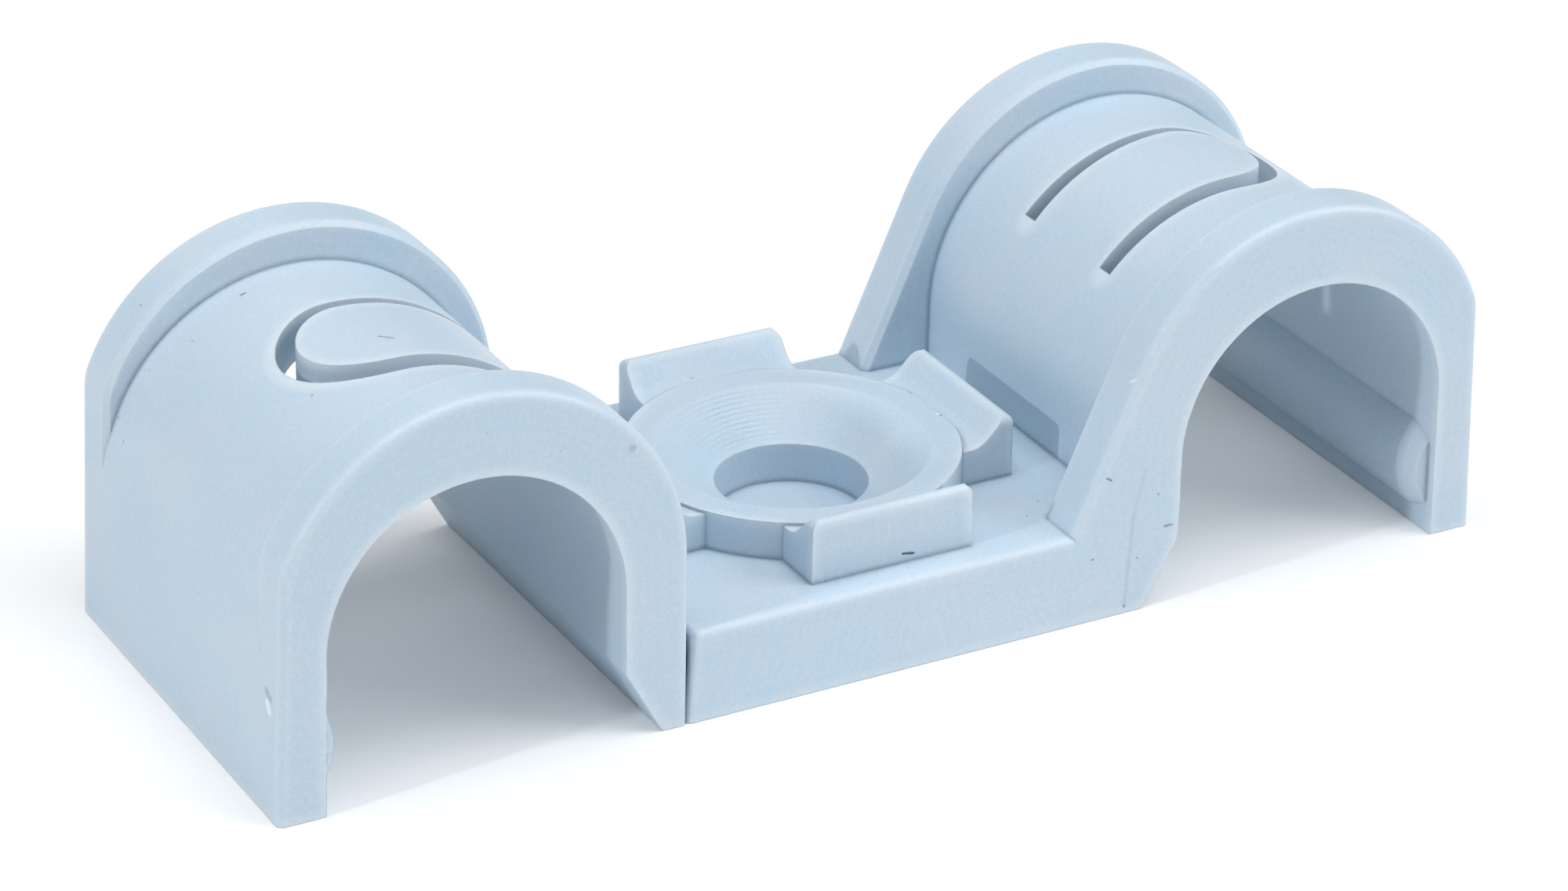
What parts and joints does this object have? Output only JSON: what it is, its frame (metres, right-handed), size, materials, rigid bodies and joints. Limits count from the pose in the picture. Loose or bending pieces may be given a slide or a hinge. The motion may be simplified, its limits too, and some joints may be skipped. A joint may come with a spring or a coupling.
{
  "type": "double pipe clip",
  "caption": "Moulded plastic pipe clip: paired open saddles with a sprung tongue in each crown, joined by a flat base with a blind, countersunk nail hole in a lugged boss.",
  "frame": {"origin": "on the nail hole's axis, in the plane of the wall that the clip is nailed to", "axes": "+X from the left saddle to the right one, +Y along the pipes, +Z away from the wall"},
  "size_m": [0.067, 0.024, 0.0199],
  "materials": {
    "polypropylene": "satin moulded polypropylene, pale blue-grey, coloured through"
  },
  "bodies": {
    "root": {"double_pipe_clip": "polypropylene"}
  },
  "joints": []
}
